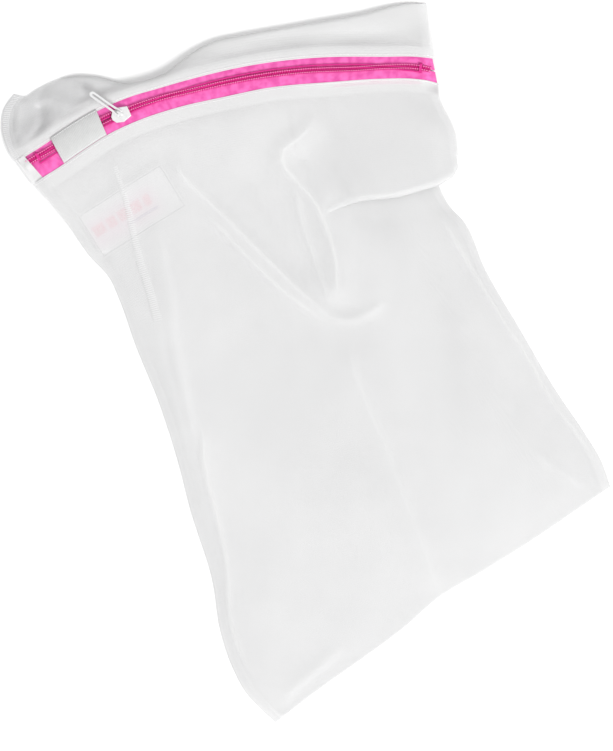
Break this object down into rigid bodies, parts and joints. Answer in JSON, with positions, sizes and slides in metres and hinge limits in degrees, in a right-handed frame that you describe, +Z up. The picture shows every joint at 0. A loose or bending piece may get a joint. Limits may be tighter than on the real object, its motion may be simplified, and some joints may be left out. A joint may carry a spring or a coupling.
{
  "type": "mesh laundry bag",
  "caption": "Flat rectangular net wash bag with a curved coil zip across one end, a loop-pull slider and an elastic garage over its closed end, lying slack with one corner doubled under.",
  "frame": {"origin": "on the floor under the middle of the bag's bounding box", "axes": "+Z up out of the zipped front, +Y towards the zip end along the bag's length, +X across the bag's width towards the end where the zip opens"},
  "size_m": [0.3172, 0.488, 0.0168],
  "materials": {
    "mesh_cloth": "fine knitted net, slightly see-through",
    "seam_binding": "overlocked net, matt",
    "white_thread": "spun thread",
    "pink_thread": "spun thread",
    "zip_tape": "woven tape",
    "zip_coil": "nylon coil, satin",
    "slider_plastic": "moulded, glossy",
    "elastic": "ribbed woven elastic",
    "label_cloth": "printed satin tape"
  },
  "bodies": {
    "bag": {"back_panel": "mesh_cloth", "front_lower_panel": "mesh_cloth", "front_upper_panel": "mesh_cloth", "left_side_binding": "seam_binding", "right_side_binding": "seam_binding", "left_side_stitching": "white_thread", "right_side_stitching": "white_thread", "upper_zip_tape": "zip_tape", "lower_zip_tape": "zip_tape", "upper_coil": "zip_coil", "lower_coil": "zip_coil", "upper_coil_cord": "zip_coil", "lower_coil_cord": "zip_coil", "upper_coil_stitching": "pink_thread", "lower_coil_stitching": "pink_thread", "upper_topstitch": "white_thread", "lower_topstitch": "white_thread", "left_bartack": "pink_thread", "right_bartack": "pink_thread", "garage_band": "elastic", "garage_upper_stitching": "white_thread", "garage_lower_stitching": "white_thread", "care_label": "label_cloth", "label_stitching": "white_thread"},
    "slider": {"slider_body": "slider_plastic"},
    "pull": {"pull_tab": "slider_plastic"}
  },
  "joints": [
    {"name": "slider_travel", "type": "hinge", "parent": "bag", "child": "slider", "pos_m": [-0.064, -0.1975, 0.0105], "axis": [0, 0, 1], "range_deg": [-30.4, 0.9], "deforming": ["lower_coil", "lower_coil_cord", "lower_coil_stitching", "upper_coil", "upper_coil_cord", "upper_coil_stitching"]},
    {"name": "pull_flip", "type": "hinge", "parent": "slider", "child": "pull", "pos_m": [-0.07432, 0.20027, 0.0144], "axis": [0.848, 0.5299, 0], "range_deg": [0, 184]}
  ]
}
